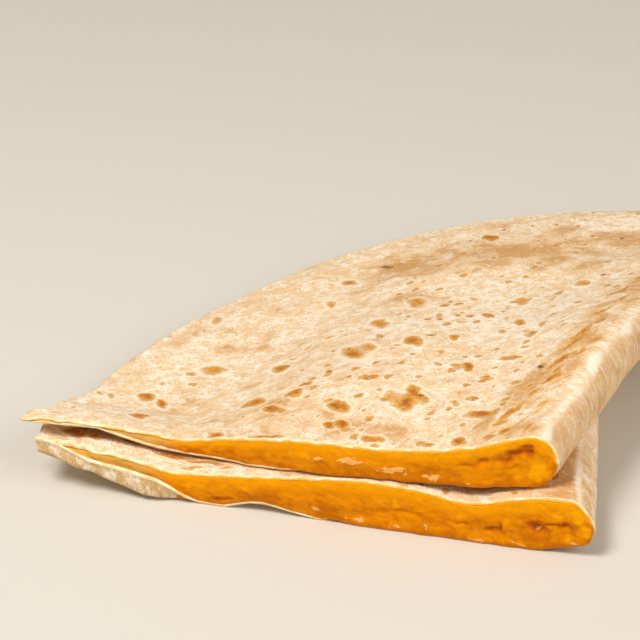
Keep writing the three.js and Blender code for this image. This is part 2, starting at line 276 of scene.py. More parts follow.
def lowerHeight(along, back):
    top = tipLift(along, back) + halfHeight(lowerHalf, lowerHeightAt, along, back) - topDent(along, back)
    puff = bell((along - stack["puffAlong"]) / stack["puffWidth"]) * (1 - ease(back / stack["puffReach"]))
    return top + stack["puffHeight"] * puff - lowerUnderside(along, back)


def upperUnderside(along, back):  # lies on the lower half, bridges its dent, sinks past its rim
    lowerAlong, lowerBack = alongAndBack(lowerHalf, *planPoint(upperHalf, along, back))
    lowerAlong, lowerBack = np.maximum(lowerAlong, 0), np.maximum(lowerBack, 0)
    gap = stack["stackGap"] + np.maximum(tipGapAt(along), 0) * (1 - ease(back / stack["tipGapReach"]))
    support = tipLift(lowerAlong, lowerBack) + gap
    support = support + halfHeight(lowerHalf, lowerHeightAt, lowerAlong, lowerBack)
    past = -insideRim(lowerHalf, *planPoint(lowerHalf, lowerAlong, lowerBack)) / stack["hangWidth"]
    return mix(support, stack["floorClearance"], ease(past))


def upperHeight(along, back):
    return halfHeight(upperHalf, upperHeightAt, along, back)


def wrapMove(along, back):  # how far the wrapping sheet moves back and up
    nearCut = np.clip(1 - back / frontWrap["reach"], 0, 1)
    share = ease((along - frontWrap["start"]) / frontWrap["width"])
    outOver, backIn = ease(nearCut * 2), ease(nearCut * 2 - 1)
    closing = ease((along - frontWrap["closing"]) / frontWrap["closingWidth"])
    taken = (stack["sheetThickness"] + frontWrap["clearance"]) * (1 - closing)
    room = np.maximum(lowerHeight(along, np.maximum(back, 0)) - taken, 0)
    peak = frontWrap["peakRise"] * bell((along - frontWrap["peakAlong"]) / frontWrap["peakWidth"])
    rise = np.minimum(frontWrap["rise"] + peak + closing, room) + frontWrap["droop"]
    underside = lowerUnderside(along, np.maximum(back, 0))
    droop = np.minimum(frontWrap["droop"], frontWrap["droopShare"] * underside)
    upward = rise * ease((nearCut - frontWrap["turnUp"]) / (1 - frontWrap["turnUp"])) - droop * outOver
    waving = 1 + lumps(along / frontWrap["waveLength"], 0 * along, frontWrap["seed"])
    out = frontWrap["out"] * (1 + frontWrap["wavy"] * waving)
    return -out * share * (outOver - frontWrap["backIn"] * backIn), share * upward


def upperShift(along, back):  # the cut of the upper half wanders
    return cutWanderAt(along) * np.maximum(0, 1 - np.maximum(back, 0) / stack["wanderReach"])


lowerHalf.update(
    underside=lowerUnderside, height=lowerHeight, wrap=wrapMove, shift=lambda along, back: 0)
upperHalf.update(
    underside=upperUnderside, height=upperHeight, wrap=lambda along, back: (0, 0), shift=upperShift)


def lipShare(half, along):  # where the cheese hangs over the cut edge of the sheet below it
    return 1 - ease((along - half["lipEnd"] + half["lipFade"]) / half["lipFade"])


def swell(half, side, along, back):
    x, y = planPoint(half, along, back)
    fade = ease(insideRim(half, x, y) / waves["rimFade"]) * ease(back / waves["cutFade"])
    wave = scaled(lumps, waves["long"], along, back, half["seed"])
    wave = wave + scaled(lumps, waves["short"], along, back, half["seed"] + 1)
    crest = bell((along - half["foldDepth"]) / waves["crestWidth"])
    crest = crest * lumps(back / waves["crestBack"], along / waves["crestAlong"], half["seed"] + 2)
    crest = half["crestWave"] * crest * ease(back / waves["crestFade"])
    return (half["swell"] * fade * wave + crest) * (1 + side) / 2


def skinPoints(half, inset, turn, beyond, back, recess=0, curl=1):
    # places on the surface of a half, or inset from it
    # turn goes from -90 degrees below, over 0 at the fold, to 90 above; beyond counts past the round fold
    lean = half["foldLean"] * (1 + np.sin(turn)) / 2
    roundPart = inset + (half["foldDepth"] - inset) * (1 - np.cos(turn))
    along = lean + np.where(beyond > 0, half["foldDepth"] + beyond, roundPart)
    side = np.where(beyond > 0, np.sign(turn), np.sin(turn))
    below = np.maximum(-side, 0)
    inside = insideRim(half, *planPoint(half, along, back))
    atRim = ease(1 - inside / stack["rimPinchWidth"])
    atRim = atRim * ease((along - stack["rimPinchStart"]) / stack["rimPinchFade"])
    atTip = ease((along - half["pinchStart"]) / stack["tipPinchWidth"])
    atTip = atTip * np.clip(1 - back / stack["tipPinchReach"], 0, 1)
    pinch = np.maximum(stack["rimPinch"] * atRim, stack["tipPinch"] * atTip)
    height = half["height"](along, back) - pinch
    reach = np.maximum(height / 2 - inset, stack["leastReach"])
    wrapBack, wrapUp = [move * curl * below for move in half["wrap"](along, back)]
    z = half["underside"](along, back) + stack["tipRaise"] * atTip + height / 2 + reach * side + wrapUp
    z = z + swell(half, side, along, back)
    atEdge = np.maximum(0, 1 - np.maximum(back, 0) / stack["edgeReach"])
    nearTip = ease((along - half["crumpleStart"]) / stack["tipRagWidth"])
    raggedness = (half["ragged"] + half["tipRagged"] * nearTip) * atEdge
    ragged = raggedness * roughLumps(along / stack["edgeLump"], side * 2, half["seed"] + 3)
    tucked = recess * lipShare(half, along) * below * atEdge
    moved = back + half["shift"](along, back) + wrapBack + ragged + tucked
    x, y = planPoint(half, along, moved)
    return np.stack([x - stack["centre"][0], y - stack["centre"][1], z + 0 * x], axis=-1)


def stations(half, back, counts):
    # turn, beyond and unrolled distance from the fold of each point of a section, rim below to rim above
    bottomSteps, foldSteps, topSteps = counts
    flatBelow = rimAlong(half, back) - half["foldDepth"]
    below = np.multiply.outer(flatBelow, np.linspace(1, 0, bottomSteps + 1)[:-1])
    above = np.multiply.outer(flatBelow - half["foldLean"], np.linspace(0, 1, topSteps + 1)[1:])
    fold = np.linspace(-math.pi / 2, math.pi / 2, 2 * foldSteps + 1)
    flat = np.zeros((len(back), len(fold)))
    turn = np.concatenate([np.full(bottomSteps, -math.pi / 2), fold, np.full(topSteps, math.pi / 2)])
    beyond = np.concatenate([below, flat, above], axis=1)
    roundLength = 1.4 * half["foldDepth"]  # about half the way round the fold
    unrolled = np.concatenate([-below, flat, above], axis=1) + roundLength * np.sin(turn)
    return np.broadcast_to(turn, beyond.shape), beyond, unrolled


def normalsOf(points):
    across = np.cross(np.gradient(points, axis=0), np.gradient(points, axis=1))
    return across / np.maximum(np.linalg.norm(across, axis=-1, keepdims=True), 1e-9)


class MeshParts:
    vectors = ("skin", "streak", "around")  # the labels that hold a place, not a number
    samePlace = 0.002  # points closer than this are joined

    def __init__(self, labels):
        self.points, self.faces, self.slots, self.count = [], [], [], 0
        self.values = {label: [] for label in labels}

    def add(self, points, **values):  # a grid of points; returns the grid of their numbers
        first = self.count
        self.points.append(points.reshape(-1, 3))
        self.count += points.shape[0] * points.shape[1]
        for label, parts in self.values.items():
            shape = points.shape if label in self.vectors else points.shape[:2]
            value = values.get(label, np.zeros(shape))
            parts.append(np.reshape(value, (self.count - first, -1)))
        return np.arange(first, self.count).reshape(points.shape[:2])

    def grid(self, numbers, slot=0):  # faces between neighbouring points
        corners = [numbers[:-1, :-1], numbers[:-1, 1:], numbers[1:, 1:], numbers[1:, :-1]]
        squares = np.stack(corners, axis=-1).reshape(-1, 4).tolist()
        faces = [list(dict.fromkeys(square)) for square in squares]  # a triangle where two corners are one
        self.faces += faces
        self.slots += [slot] * len(faces)

    def face(self, numbers, slot=0):
        self.faces.append([int(number) for number in numbers])
        self.slots.append(slot)

    def piece(self, name, materials):
        mesh = bpy.data.meshes.new(name)
        mesh.from_pydata((np.concatenate(self.points) * mm).tolist(), [], self.faces)
        mesh.polygons.foreach_set("material_index", self.slots)
        mesh.polygons.foreach_set("use_smooth", [True] * len(self.faces))
        for label, parts in self.values.items():
            value = np.concatenate(parts)
            isVector = value.shape[1] == 3
            layer = mesh.attributes.new(label, "FLOAT_VECTOR" if isVector else "FLOAT", "POINT")
            layer.data.foreach_set("vector" if isVector else "value", value.ravel())
        for material in materials:
            mesh.materials.append(material)
        whole = bmesh.new()
        whole.from_mesh(mesh)
        bmesh.ops.remove_doubles(whole, verts=whole.verts, dist=self.samePlace * mm)
        bmesh.ops.recalc_face_normals(whole, faces=whole.faces)
        whole.to_mesh(mesh)
        whole.free()
        made = bpy.data.objects.new(name, mesh)
        bpy.context.scene.collection.objects.link(made)
        return made


class Value:  # a socket that can be used in sums
    def __init__(self, recipe, socket):
        self.recipe, self.socket = recipe, socket

    def maths(self, operation, first, second):
        return self.recipe.node("Math", {"operation": operation}, {0: first, 1: second})

    def __add__(self, other):
        return self.maths("ADD", self, other)

    def __mul__(self, other):
        return self.maths("MULTIPLY", self, other)

    def __sub__(self, other):
        return self.maths("SUBTRACT", self, other)

    def __rsub__(self, other):
        return self.maths("SUBTRACT", other, self)

    __radd__, __rmul__ = __add__, __mul__


class Recipe:  # the nodes of one material
    def __init__(self, name):
        self.material = bpy.data.materials.new(name)
        self.material.use_nodes = True
        self.tree = self.material.node_tree
        self.tree.nodes.clear()

    def node(self, kind, settings=None, sockets=None, output=0):
        made = self.tree.nodes.new("ShaderNode" + kind)
        for label, setting in (settings or {}).items():
            if label == "stops":
                for i, (position, colour) in enumerate(setting):
                    stop = made.color_ramp.elements[i] if i < 2 else made.color_ramp.elements.new(position)
                    stop.position, stop.color = position, colour
            else:
                setattr(made, label, setting)
        for label, value in (sockets or {}).items():
            if isinstance(value, Value):
                self.tree.links.new(value.socket, made.inputs[label])
            else:
                made.inputs[label].default_value = value
        return Value(self, made.outputs[output]) if made.outputs else None

    def attribute(self, label, output="Fac"):
        return self.node("Attribute", {"attribute_name": label}, output=output)

    def stretch(self, vector, scale):
        return self.node("VectorMath", {"operation": "MULTIPLY"}, {0: vector, 1: scale})

    def warp(self, vector, scale, amount):  # the same place, pushed about at random
        push = self.node("TexNoise", {}, {"Vector": vector, "Scale": scale, "Detail": 2}, "Color")
        centred = self.node("VectorMath", {"operation": "SUBTRACT"}, {0: push, 1: (0.5, 0.5, 0.5)})
        moved = self.stretch(centred, (amount, amount, 0))
        return self.node("VectorMath", {"operation": "ADD"}, {0: vector, 1: moved})

    def noise(self, vector, scale, detail=2, roughness=0.5):
        sockets = {"Vector": vector, "Scale": scale, "Detail": detail, "Roughness": roughness}
        return self.node("TexNoise", {}, sockets)

    def between(self, value, low, high):  # 0 at low, 1 at high, smooth in between
        sockets = {"Value": value, "From Min": low, "From Max": high}
        return self.node("MapRange", {"interpolation_type": "SMOOTHSTEP"}, sockets)

    def larger(self, first, second):
        return self.node("Math", {"operation": "MAXIMUM"}, {0: first, 1: second})

    def blend(self, share, first, second):
        return self.node("Mix", {"data_type": "RGBA"}, {0: share, 6: first, 7: second}, output=2)

    def finish(self, colour, roughness, height, depth, **fixed):
        normal = self.node("Bump", {}, {"Height": height, "Strength": 1.0, "Distance": depth * mm})
        sockets = {"Base Color": colour, "Roughness": roughness, "Normal": normal, **fixed}
        surface = self.node("BsdfPrincipled", {}, sockets)
        self.node("OutputMaterial", {}, {"Surface": surface})
        return self.material


def linear(share):  # from the brightness on a screen to the amount of light
    return share / 12.92 if share < 0.04045 else ((share + 0.055) / 1.055) ** 2.4


def paint(*parts):  # red, green and blue as they look on a screen, 0 to 255
    return [linear(part / 255) for part in parts] + [1.0]


def paints(colours):
    return {label: paint(*colour) for label, colour in colours.items()}


# marks on the tops: distance from the fold, from the cut, half sizes, strength
upperMarks = {
    "blisters": [
        (66, 83, 2.1, 3.4, 0.7), (69, 67, 2.1, 3.4, 0.65), (54, 52, 2.2, 3.2, 0.8), (66, 45, 3.4, 5.4, 0.5),
        (66, 44, 1.9, 2.6, 0.95), (64, 48, 2.2, 3.2, 0.6), (69, 47, 1.6, 3, 0.6), (43, 20, 1.9, 2.6, 0.95),
        (43, 24, 1.6, 2.8, 0.9), (40.5, 22, 1.6, 2.2, 0.75), (46.5, 21, 2, 2.4, 0.55),
        (43, 18, 3.2, 2.2, 0.5), (57, 15, 2.4, 2.2, 1), (56, 7, 1.4, 1.3, 0.9), (53, 8, 1.7, 1.5, 0.9),
        (44, 4, 2.5, 1.4, 0.75), (31, 2, 1.4, 0.9, 0.65), (85, 45, 2.1, 2.5, 0.85), (67, 33, 1.2, 1.1, 0.8),
        (56, 28, 1.2, 1.4, 0.8), (70, 27, 1.5, 1.2, 0.75), (71, 22, 1.8, 2.1, 0.85), (81, 22, 2.3, 3.2, 0.75),
        (73, 14, 2.3, 1.9, 0.85), (103, 47, 2.9, 2.5, 0.65), (108, 45, 1.8, 1.1, 0.6),
        (105, 39, 1.3, 1.3, 0.65), (90, 86, 1.3, 1.9, 0.65), (91, 101, 1.9, 2.1, 0.7),
        (80, 116, 2.7, 1.3, 0.6), (65, 57, 1.4, 1.4, 0.6),
        (79, 61, 1.3, 1.2, 0.5), (78, 64, 1.3, 1, 0.5), (83, 57, 1.3, 0.9, 0.5), (84, 51, 1.6, 0.9, 0.5),
        (57, 49, 1.1, 1.3, 0.5), (115, 74, 1.6, 1.9, 0.6), (69, 1, 4.4, 0.8, 0.75), (83, 2, 1.9, 1.5, 0.8),
        (65, 132, 1.7, 2.6, 1), (46, 56, 1.1, 1.8, 0.75), (44, 74, 1.5, 2.1, 0.7), (56, 72, 1.1, 2, 0.6),
        (49, 68, 2, 1.2, 0.5), (52, 86, 2.1, 1.2, 0.55), (40, 86, 2, 2.6, 0.6), (33, 67, 1.5, 2.9, 0.65),
        (27, 56, 1.2, 2.2, 0.65), (35, 60, 1.1, 1.7, 0.6), (26, 48, 1.7, 0.9, 0.6), (27, 43, 2.4, 1.3, 0.8),
        (19, 41, 1.2, 0.9, 0.7), (36, 39, 1.4, 2, 1), (39, 39, 1.7, 1.7, 0.6), (43, 39, 1, 1.3, 0.6),
        (29, 33, 1.8, 1.1, 0.65), (21, 29, 1.3, 1.1, 0.7), (28, 23, 0.9, 1, 0.8), (32, 21, 1.8, 1.1, 0.6),
        (24, 15, 3, 1.6, 0.9), (24, 3, 1.8, 1.4, 0.9), (28, 97, 1.5, 2, 0.6),
        (113, 31, 2, 2, 0.95), (107, 28, 1.2, 2.4, 0.95), (106, 13, 1.9, 2.6, 0.85), (112, 39, 1, 1.4, 0.5),
        (121, 29, 1, 1.2, 0.6), (122, 13, 1.2, 1.3, 0.5), (124, 30, 1.6, 0.9, 0.6),
    ],
    "strokes": [  # long ones beside the fold
        (15.7, 13.6, 0.9, 3.2, 0.9), (20.8, 16, 1.1, 1.3, 0.55), (17, 8.6, 1.1, 1.5, 0.6),
        (14.4, 4.9, 1, 1.4, 0.7), (17, 3.2, 1.4, 0.9, 0.65), (13.8, 21.6, 1.1, 1.7, 0.65),
        (11.8, 27.3, 1, 2.3, 0.8), (11.9, 31.5, 0.9, 1.8, 0.75), (12.7, 36.5, 1.2, 3.2, 0.9),
        (13.4, 45, 0.8, 5, 0.8), (13.1, 51, 0.9, 3.4, 0.75), (11.4, 57, 0.8, 4, 0.65),
        (13, 66, 0.8, 4.5, 0.65), (11.6, 76, 0.8, 5, 0.6), (14.5, 86, 0.9, 5, 0.6), (12.5, 99, 0.9, 6, 0.6),
        (15, 112, 0.9, 5, 0.5),
        (9.6, 38, 0.9, 3.4, 0.5), (9.2, 15.5, 1.2, 2.4, 0.4), (21.5, 66, 0.8, 3.6, 0.45),
    ],
    "char": [
        (41, 23, 0.9, 0.7, 0.8), (17, 34.6, 0.7, 0.8, 0.9), (25, 102, 0.8, 0.9, 0.9), (21, 61, 0.6, 0.7, 0.6),
        (30.6, 136, 0.7, 0.9, 0.7), (85.5, 112, 1.6, 1.9, 0.6), (83.4, 114, 1.4, 0.9, 0.5),
    ],
    # partly browning; the band near the back is partly a painted shadow
    "tanAndShade": [
        (50, 120, 22, 11, 0.8), (34, 134, 14, 7, 0.7), (76, 111, 11, 7, 0.9), (104, 59, 9, 2, 0.5),
        (71, 15, 9, 6, 0.5), (47, 9, 10, 4, 0.6), (98, 28, 8, 6, 0.4), (62, 84, 9, 5, 0.6),
    ],
    "flour": [
        (42, 74, 16, 20, 1), (60, 62, 12, 10, 0.7), (120, 16, 14, 16, 0.5), (112, 50, 14, 14, 0.4),
        (30, 146, 16, 4, 0.8), (90, 70, 14, 10, 0.4),
    ],
}
lowerMarks = {
    "blisters": [
        (126, 7, 2.6, 1.8, 0.9), (121, 6, 2.2, 1.4, 0.8), (112, 9, 2.4, 1.4, 0.9), (118, 13, 2.4, 1.8, 0.6),
        # the two faint ones near the fold: partly stains, partly painted shade under the upper half
        (13, 5, 3.4, 1.4, 0.35), (22, 4, 4, 0.9, 0.35),
    ],
    "strokes": [
        (101, 6.5, 5, 0.8, 0.9), (93, 5, 4.6, 0.7, 0.8), (96, 2.5, 3.2, 0.7, 0.5), (88, 3, 2.4, 0.8, 0.5),
    ],
    "char": [],
    # partly browning, partly painted shade where the upper half hangs over this one
    "tanAndShade": [
        (9, 6, 6, 5, 1), (20, 5, 9, 3, 1), (10, 18, 6, 6, 0.8), (118, 9, 12, 5, 0.5), (74, 8, 28, 4, 1),
    ],
    "flour": [(100, 2, 20, 2.5, 0.8), (108, 6, 15, 6, 1)],
}

tortilla = {
    "colours": {
        # tan: browning, and also the colour of the painted shade in the tan marks
        "flour": (255, 243, 224), "pale": (240, 204, 158), "tanAndShade": (210, 154, 92), "speck": (172, 122, 78),
        "amber": (246, 196, 104), "golden": (226, 154, 24), "brown": (192, 110, 0), "dark": (126, 62, 0),
        "char": (84, 76, 68), "foldSide": (230, 192, 142), "foldBlotch": (204, 152, 98),
        "wrap": (200, 160, 86),  # where it curls up: yellower, wet with cheese, and darker as painted shade
        "dough": (255, 238, 200), "doughShade": (244, 214, 160), "soaked": (248, 176, 56),  # of the cut edge
    },
    "toasting": {"amber": 0.1, "golden": 0.32, "brown": 0.62, "dark": 0.95},  # from the edge of a mark inwards
    "limits": {                  # where a pattern begins to show, and where it is full
        "tanAndShade": (0.5, 0.78), "flour": (0.46, 0.57), "speck": (0.45, 0.37), "streaks": (0.52, 0.68),
        "darkStreaks": (0.6, 0.72), "foldBlotch": (0.42, 0.66), "foldLines": (0.46, 0.62),
        "crest": (0.3, 0.95), "wrap": (0.82, 0.55), "freckles": (-0.2, 0.3), "halo": (0.02, 0.16),
        "toast": (0.04, 0.62), "char": (0.3, 0.6), "sunken": (0.2, 0.5), "crumb": (0.4, 0.6),
        "soaked": (0, 0.55),
    },
    "cover": {                   # how strongly it then covers what is under it
        "tanAndShade": 0.85, "flour": 0.88, "speck": 0.5, "streaks": 0.7, "darkStreaks": 0.6, "foldBlotch": 0.7,
        "foldLines": 0.42, "crest": 0.8, "wrap": 0.85, "freckles": 0.52, "halo": 0.6, "toast": 0.95,
        "char": 0.85, "soaked": 0.9,
    },
    "patterns": {                # random patterns: scale, detail and roughness
        "patches": (0.13, 4, 0.65), "clouds": (0.36, 4, 0.62), "grain": (0.9, 5, 0.7), "fine": (2.6, 3, 0.6),
        "streaks": (0.8, 4, 0.65), "foldLines": (0.9, 4, 0.65), "crumb": (0.35, 4, 0.6),
    },
    "warps": {                   # how they are pushed about: scale and distance
        "patches": (0.2, 4), "clouds": (0.3, 2), "streaks": (0.3, 1.2), "foldLines": (0.3, 0.8),
        "freckles": (0.7, 1.4),
    },
    "freckleScale": 0.32, "freckleStretch": (1, 0.8, 1),
    "roughness": 0.75, "toastSheen": 0.15, "reflection": 0.06, "reliefDepth": 0.6,
    "edgeRoughness": 0.65, "edgeReflection": 0.15, "edgeReliefDepth": 0.15,
    "markWander": (0.7, 3, 3), "markSeed": 91,  # how far the outlines of the marks stray, and over what size
    "freckleStart": 3, "freckleFade": 4, "freckleThinning": 0.6, "thinningStart": 66, "thinningWidth": 30,
    "firstSections": (0.35, 0.8),  # distances of the first rows of points from the cut
    "sectionStart": 1.4, "sectionCrowding": 0.6,  # 0 for even sections, 1 for closer ones at the ends
    "edgeRows": [(0.1, 0.12), (0.35, -0.02), (0.7, -0.12), (1, -0.18)],  # depth share, place behind the cut
    "rimRounding": 0.3,          # how far the middle of the rim stands out
    "soakBefore": 4, "soakFade": 10, "upperSoakStretch": 0.75, "upperDrying": 0.75,  # cheese in the cut edge
}

# what shows near the fold, in millimetres from it and in radians round it
foldLooks = {
    "topTurn": 0.6,              # by here the marks of the top have come in
    "creaseStart": 5, "creaseIn": 3, "creaseOut": 6, "creaseSpreadReach": 28,
    "sideTurn": 0.9, "sideFade": 0.4,
    # crest: where the white of the crest lies round the fold, partly flour and partly painted highlight
    "crestTurn": 1.1, "crestWidth": 0.3, "crestWander": (0.2, 9, 9),
    "crestMean": 0.85, "crestChange": (0.35, 7, 7),
    "streakSqueeze": 0.2, "lineSqueeze": 0.25, "lineStretch": 1.4, "lineLean": 0.4,
}

# added to the third coordinate of the patterns to set surfaces apart, for a half times its seed
patternShift = {"half": 7, "inside": 3, "edge": 5, "cutFace": 50}

# low relief of the sheets; three values are height, size away from the fold and size away from the cut
sheetLumps = {
    "waves": (0.1, 4.2, 4.2), "grain": (0.05, 1.6, 1.6), "blister": 0.15,
    "creases": (1, 2.2, 14), "fineCreases": (0.6, 1.5, 8), "creaseDepth": 0.2, "creaseWander": (1.2, 9, 9),
    "crumples": (0.7, 5, 5), "fineCrumples": (0.4, 1.8, 2.4), "crumpleFade": 12,
    "deepest": 0.35,
}


def markField(marks, along, back, lean):  # 1 in the middle of a mark, half at its edge, 0 at twice its size
    straying = along + scaled(roughLumps, tortilla["markWander"], along, back, tortilla["markSeed"])
    back = back + scaled(roughLumps, tortilla["markWander"], along, back, tortilla["markSeed"] + 10)
    field = np.zeros(np.broadcast(along, back).shape)
    for markAlong, markBack, halfAlong, halfBack, strength in marks:
        across = straying - markAlong - lean * (back - markBack)
        far = np.hypot(across / halfAlong, (back - markBack) / halfBack)
        field = np.maximum(field, strength * (1 - ease(far / 2)))
    return field


def tortillaMaterial():
    recipe = Recipe("tortilla_skin")
    colours, limits, cover = paints(tortilla["colours"]), tortilla["limits"], tortilla["cover"]
    patterns, warps = tortilla["patterns"], tortilla["warps"]
    skin = recipe.attribute("skin", "Vector")
    char, crease, side = recipe.attribute("char"), recipe.attribute("crease"), recipe.attribute("side")
    crest, tannedAndShaded, floury = (recipe.attribute(label) for label in ("crest", "tannedAndShaded", "floury"))

    patches = recipe.noise(recipe.warp(skin, *warps["patches"]), *patterns["patches"])
    clouds = recipe.noise(recipe.warp(skin, *warps["clouds"]), *patterns["clouds"])
    grain = recipe.noise(skin, *patterns["grain"])
    fine = recipe.noise(skin, *patterns["fine"])

    # floury ground with tan mottling and small specks; the tan marks add browning and painted shade
    mottling = (clouds - 0.5) * 0.5 + (grain - 0.5) * 0.5
    browningAndShade = patches + tannedAndShaded * 0.3 - floury * 0.12 + crease * 0.12 + mottling
    tanAndShadeShare = recipe.between(browningAndShade, *limits["tanAndShade"])
    colour = recipe.blend(tanAndShadeShare * cover["tanAndShade"], colours["pale"], colours["tanAndShade"])
    powder = clouds * 0.4 + grain * 0.35 + fine * 0.25
    flourShare = recipe.between(powder - tanAndShadeShare * 0.07 + floury * 0.03, *limits["flour"])
    colour = recipe.blend(flourShare * cover["flour"], colour, colours["flour"])
    speckShare = recipe.between(fine * 0.6 + grain * 0.4, *limits["speck"])
    colour = recipe.blend(speckShare * cover["speck"], colour, colours["speck"])

    # golden streaks beside the fold
    streaks = recipe.noise(
        recipe.warp(recipe.attribute("streak", "Vector"), *warps["streaks"]), *patterns["streaks"])
    streakShare = recipe.between(streaks + (grain - 0.5) * 0.3, *limits["streaks"]) * crease
    colour = recipe.blend(streakShare * cover["streaks"], colour, colours["golden"])
    darkShare = recipe.between(streaks, *limits["darkStreaks"]) * crease
    colour = recipe.blend(darkShare * cover["darkStreaks"], colour, colours["brown"])

    # a blotchy side with faint lines round it, a white crest that is partly flour and partly painted
    # highlight, and the part that curls up, wet with cheese and darkened as painted shade
    around = recipe.noise(
        recipe.warp(recipe.attribute("around", "Vector"), *warps["foldLines"]), *patterns["foldLines"])
    blotches = recipe.between(patches + (grain - 0.5) * 0.4, *limits["foldBlotch"])
    sideColour = recipe.blend(blotches * cover["foldBlotch"], colours["foldSide"], colours["foldBlotch"])
    lines = recipe.between(around * 0.7 + grain * 0.3, *limits["foldLines"])
    sideColour = recipe.blend(lines * cover["foldLines"], sideColour, colours["flour"])
    colour = recipe.blend(side, colour, sideColour)
    # the crest of the fold whitened: partly flour, partly a painted highlight
    crestFlourAndHighlight = recipe.between(crest * (1 + (grain - 0.5) * 1.2 + (patches - 0.5) * 1.2), *limits["crest"])
    colour = recipe.blend(crestFlourAndHighlight * cover["crest"], colour, colours["flour"])
    # the part that curls up: wet with cheese, and darkened as painted shade
    wrapWetAndShadeShare = recipe.attribute("wrapped") * recipe.between(clouds + patches * 0.4, *limits["wrap"])
    colour = recipe.blend(wrapWetAndShadeShare * cover["wrap"], colour, colours["wrap"])

    # blisters and small scattered freckles, golden outside and brown inside, with pale rims
    cellPlace = recipe.warp(recipe.stretch(skin, tortilla["freckleStretch"]), *warps["freckles"])
    flat, sockets = {"voronoi_dimensions": "2D"}, {"Vector": cellPlace, "Scale": tortilla["freckleScale"]}
    cells = recipe.node("TexVoronoi", flat, sockets)
    kinds = recipe.node("TexVoronoi", flat, sockets, "Color")
    kind = recipe.node("SeparateColor", {}, {"Color": kinds})
    freckle = (kind - 0.58) * 1.1 - cells - (1 - recipe.attribute("freckled")) * 0.8
    spots = recipe.between(freckle, *limits["freckles"]) * cover["freckles"]
    toast = recipe.larger(recipe.attribute("toast"), spots)
    ragged = toast * (1 + (grain - 0.5) * 2.4 + (fine - 0.5) * 0.9)
    haloShare = recipe.between(toast, *limits["halo"]) * (1 - crease * 0.8) * (1 - tannedAndShaded * 0.7)
    colour = recipe.blend(haloShare * cover["halo"], colour, colours["flour"])
    stops = [(place, colours[label]) for label, place in tortilla["toasting"].items()]
    toasted = recipe.node("ValToRGB", {"stops": stops}, {"Fac": ragged * 0.74 + (clouds - 0.5) * 0.5})
    colour = recipe.blend(recipe.between(ragged, *limits["toast"]) * cover["toast"], colour, toasted)
    charred = recipe.between(char + (fine - 0.5) * 0.8, *limits["char"])
    colour = recipe.blend(charred * cover["char"], colour, colours["char"])

    sunken = recipe.between(ragged, *limits["sunken"])
    height = grain * 0.6 + clouds * 0.5 + fine * 0.3 + streaks * crease * 0.9 + haloShare * 0.2 - sunken * 0.5
    roughness = tortilla["roughness"] - sunken * tortilla["toastSheen"]
    return recipe.finish(
        colour, roughness, height, tortilla["reliefDepth"], **{"Specular IOR Level": tortilla["reflection"]})


def doughMaterial():
    recipe = Recipe("tortilla_cut_edge")
    colours, limits = paints(tortilla["colours"]), tortilla["limits"]
    crumb = recipe.noise(recipe.attribute("skin", "Vector"), *tortilla["patterns"]["crumb"])
    colour = recipe.blend(recipe.between(crumb, *limits["crumb"]), colours["dough"], colours["doughShade"])
    soaked = recipe.between(recipe.attribute("soak") + (crumb - 0.5) * 1.4, *limits["soaked"])
    colour = recipe.blend(soaked * tortilla["cover"]["soaked"], colour, colours["soaked"])
    return recipe.finish(
        colour, tortilla["edgeRoughness"], crumb, tortilla["edgeReliefDepth"],
        **{"Specular IOR Level": tortilla["edgeReflection"]})


def sheetRelief(half, along, back, unrolled, turn, toast, crease):
    seed = half["seed"] + 10
    blisters = sheetLumps["blister"] * toast * ease(turn / foldLooks["topTurn"])
    relief = scaled(roughLumps, sheetLumps["waves"], unrolled, back, seed)
    relief = relief + scaled(lumps, sheetLumps["grain"], unrolled, back, seed + 5) + blisters
    bent = unrolled - half["streakLean"] * back
    bent = bent + scaled(lumps, sheetLumps["creaseWander"], unrolled, back, seed + 9)
    creases = scaled(lumps, sheetLumps["creases"], bent, back, seed + 6)
    creases = creases + scaled(lumps, sheetLumps["fineCreases"], bent, back, seed + 7)
    relief = relief + sheetLumps["creaseDepth"] * crease * creases
    crumples = scaled(roughLumps, sheetLumps["crumples"], unrolled, back, seed + 8)
    crumples = crumples + scaled(lumps, sheetLumps["fineCrumples"], unrolled, back, seed + 12)
    nearTip = ease((along - half["crumpleStart"]) / sheetLumps["crumpleFade"])
    return np.maximum(relief + nearTip * crumples, -sheetLumps["deepest"])


def sheetDepth(half, along, back):  # thinner at the rim and where it is cut
    nearRim = ease(1 - insideRim(half, *planPoint(half, along, back)) / stack["rimThinWidth"])
    squeezed = 1 - stack["cutThinning"] * bell(back / stack["cutThinReach"])
    return stack["sheetThickness"] * squeezed - stack["rimThinning"] * nearRim


def surfaceAlong(half, turn, beyond):  # how far along a place on the surface lies
    return half["foldLean"] * (1 + np.sin(turn)) / 2 + half["foldDepth"] * (1 - np.cos(turn)) + beyond


def marksOnTop(half, marks, along, back, onTop):
    def field(label, lean="markLean"):
        return markField(marks[label], along, back, half[lean]) * onTop

    freckling = ease((along - half["foldDepth"] - tortilla["freckleStart"]) / tortilla["freckleFade"])
    thinning = ease((along - tortilla["thinningStart"]) / tortilla["thinningWidth"])
    return {
        "toast": np.maximum(field("blisters"), field("strokes", "streakLean")), "char": field("char"),
        "tannedAndShaded": field("tanAndShade"), "floury": field("flour"),
        "freckled": freckling * onTop * (1 - tortilla["freckleThinning"] * thinning)}


